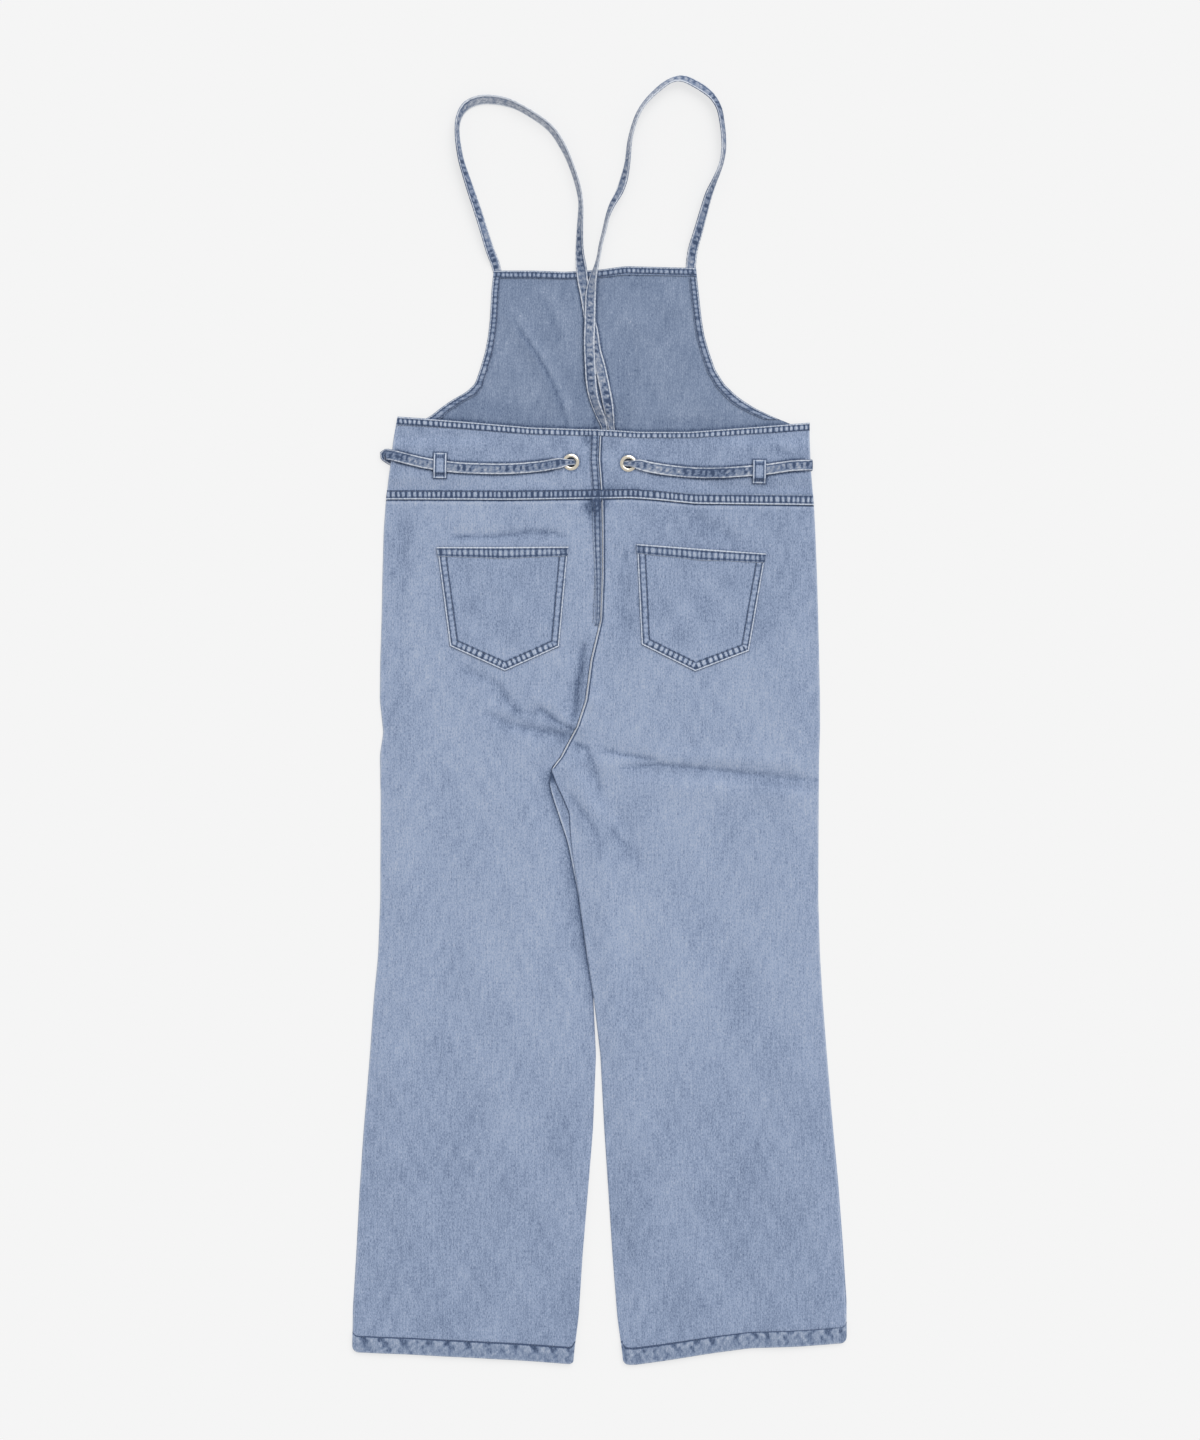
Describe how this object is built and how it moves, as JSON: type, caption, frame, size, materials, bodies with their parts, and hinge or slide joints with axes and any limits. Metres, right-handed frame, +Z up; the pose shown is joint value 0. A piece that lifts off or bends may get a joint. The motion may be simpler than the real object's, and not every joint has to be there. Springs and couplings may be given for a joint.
{
  "type": "denim dungarees, laid flat",
  "caption": "Wide-leg dungarees laid flat with the back up: bib, looped shoulder straps that go on as waist ties, deep back band, patch pockets and turned leg hems.",
  "frame": {"origin": "middle of the garment's footprint on the surface that it lies on", "axes": "+Y from the leg hems to the shoulder straps, +X to the wearer's right, +Z up from the surface, out of the garment's back"},
  "size_m": [0.568, 1.4828, 0.0125],
  "materials": {
    "denim": "light stone-washed denim, matt",
    "denim_inside": "inside of the denim, a little darker, matt",
    "denim_seam": "turned and stitched denim, puckered with worn edges",
    "denim_strap": "flat tube of denim with pale worn edges",
    "eyelet_metal": "polished pale gold metal"
  },
  "bodies": {
    "root": {"front_leg_left": "denim", "front_leg_right": "denim", "back_leg_left": "denim", "back_leg_right": "denim", "leg_hem_left": "denim_seam", "leg_hem_right": "denim_seam", "seat_seam": "denim_seam", "bib": "denim_inside", "bib_top_hem": "denim_seam", "bib_side_hem_left": "denim_seam", "bib_side_hem_right": "denim_seam", "back_band_left": "denim", "back_band_right": "denim", "band_top_hem_left": "denim_seam", "band_top_hem_right": "denim_seam", "waist_seam_left": "denim_seam", "waist_seam_right": "denim_seam", "band_centre_seam": "denim_seam", "pocket_left": "denim", "pocket_hem_left": "denim_seam", "pocket_right": "denim", "pocket_hem_right": "denim_seam", "belt_loop_left": "denim", "belt_loop_right": "denim", "eyelet_left": "eyelet_metal", "eyelet_right": "eyelet_metal", "strap_left": "denim_strap", "strap_right": "denim_strap"}
  },
  "joints": []
}
